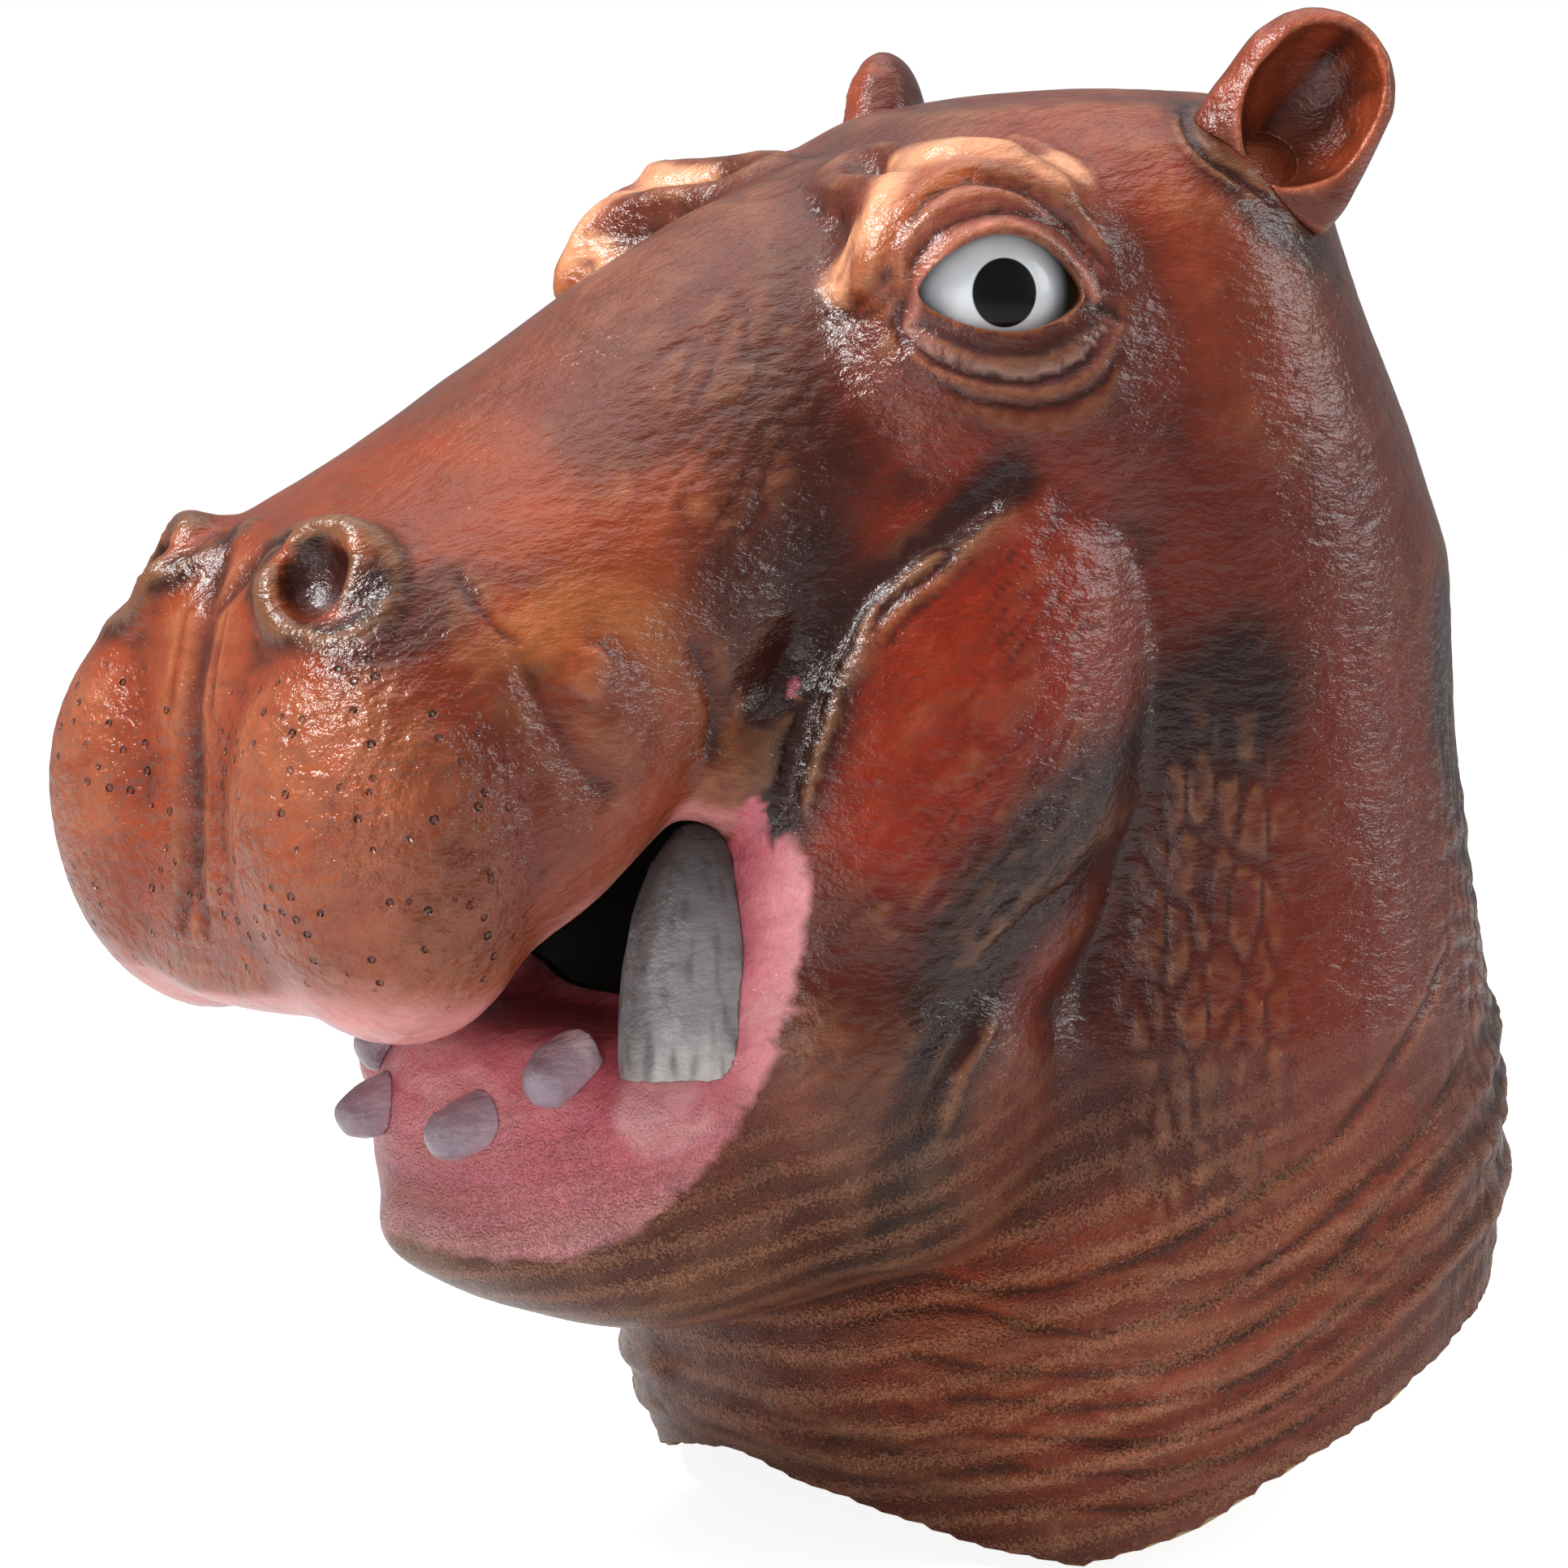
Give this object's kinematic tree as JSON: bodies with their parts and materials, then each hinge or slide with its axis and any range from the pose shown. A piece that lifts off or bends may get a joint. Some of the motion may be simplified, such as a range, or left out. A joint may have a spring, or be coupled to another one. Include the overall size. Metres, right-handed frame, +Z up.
{
  "type": "latex hippo mask",
  "caption": "Full-head hollow latex hippopotamus mask with an open, toothed mouth, cupped ears, bulging glossy eyes and an open collar at the neck.",
  "frame": {"origin": "point inside the crown where the top of the wearer's head meets the skin, on the mask's mirror plane", "axes": "+Z up along the wearer's neck, the muzzle faces -Y, +X is the mask's left side"},
  "size_m": [0.2357, 0.4056, 0.39],
  "materials": {
    "skin_latex": "gloss",
    "eye_gloss_left": "gloss",
    "eye_gloss_right": "gloss",
    "ear_latex_left": "gloss",
    "ear_latex_right": "gloss",
    "tusk_latex_left": "satin",
    "tusk_latex_right": "satin",
    "incisor_latex_inner_left": "satin",
    "incisor_latex_inner_right": "satin",
    "incisor_latex_outer_left": "satin",
    "incisor_latex_outer_right": "satin"
  },
  "bodies": {
    "root": {"head_skin": "skin_latex", "eye_left": "eye_gloss_left", "eye_right": "eye_gloss_right", "ear_left": "ear_latex_left", "ear_right": "ear_latex_right", "tusk_left": "tusk_latex_left", "tusk_right": "tusk_latex_right", "incisor_inner_left": "incisor_latex_inner_left", "incisor_inner_right": "incisor_latex_inner_right", "incisor_outer_left": "incisor_latex_outer_left", "incisor_outer_right": "incisor_latex_outer_right"}
  },
  "joints": []
}
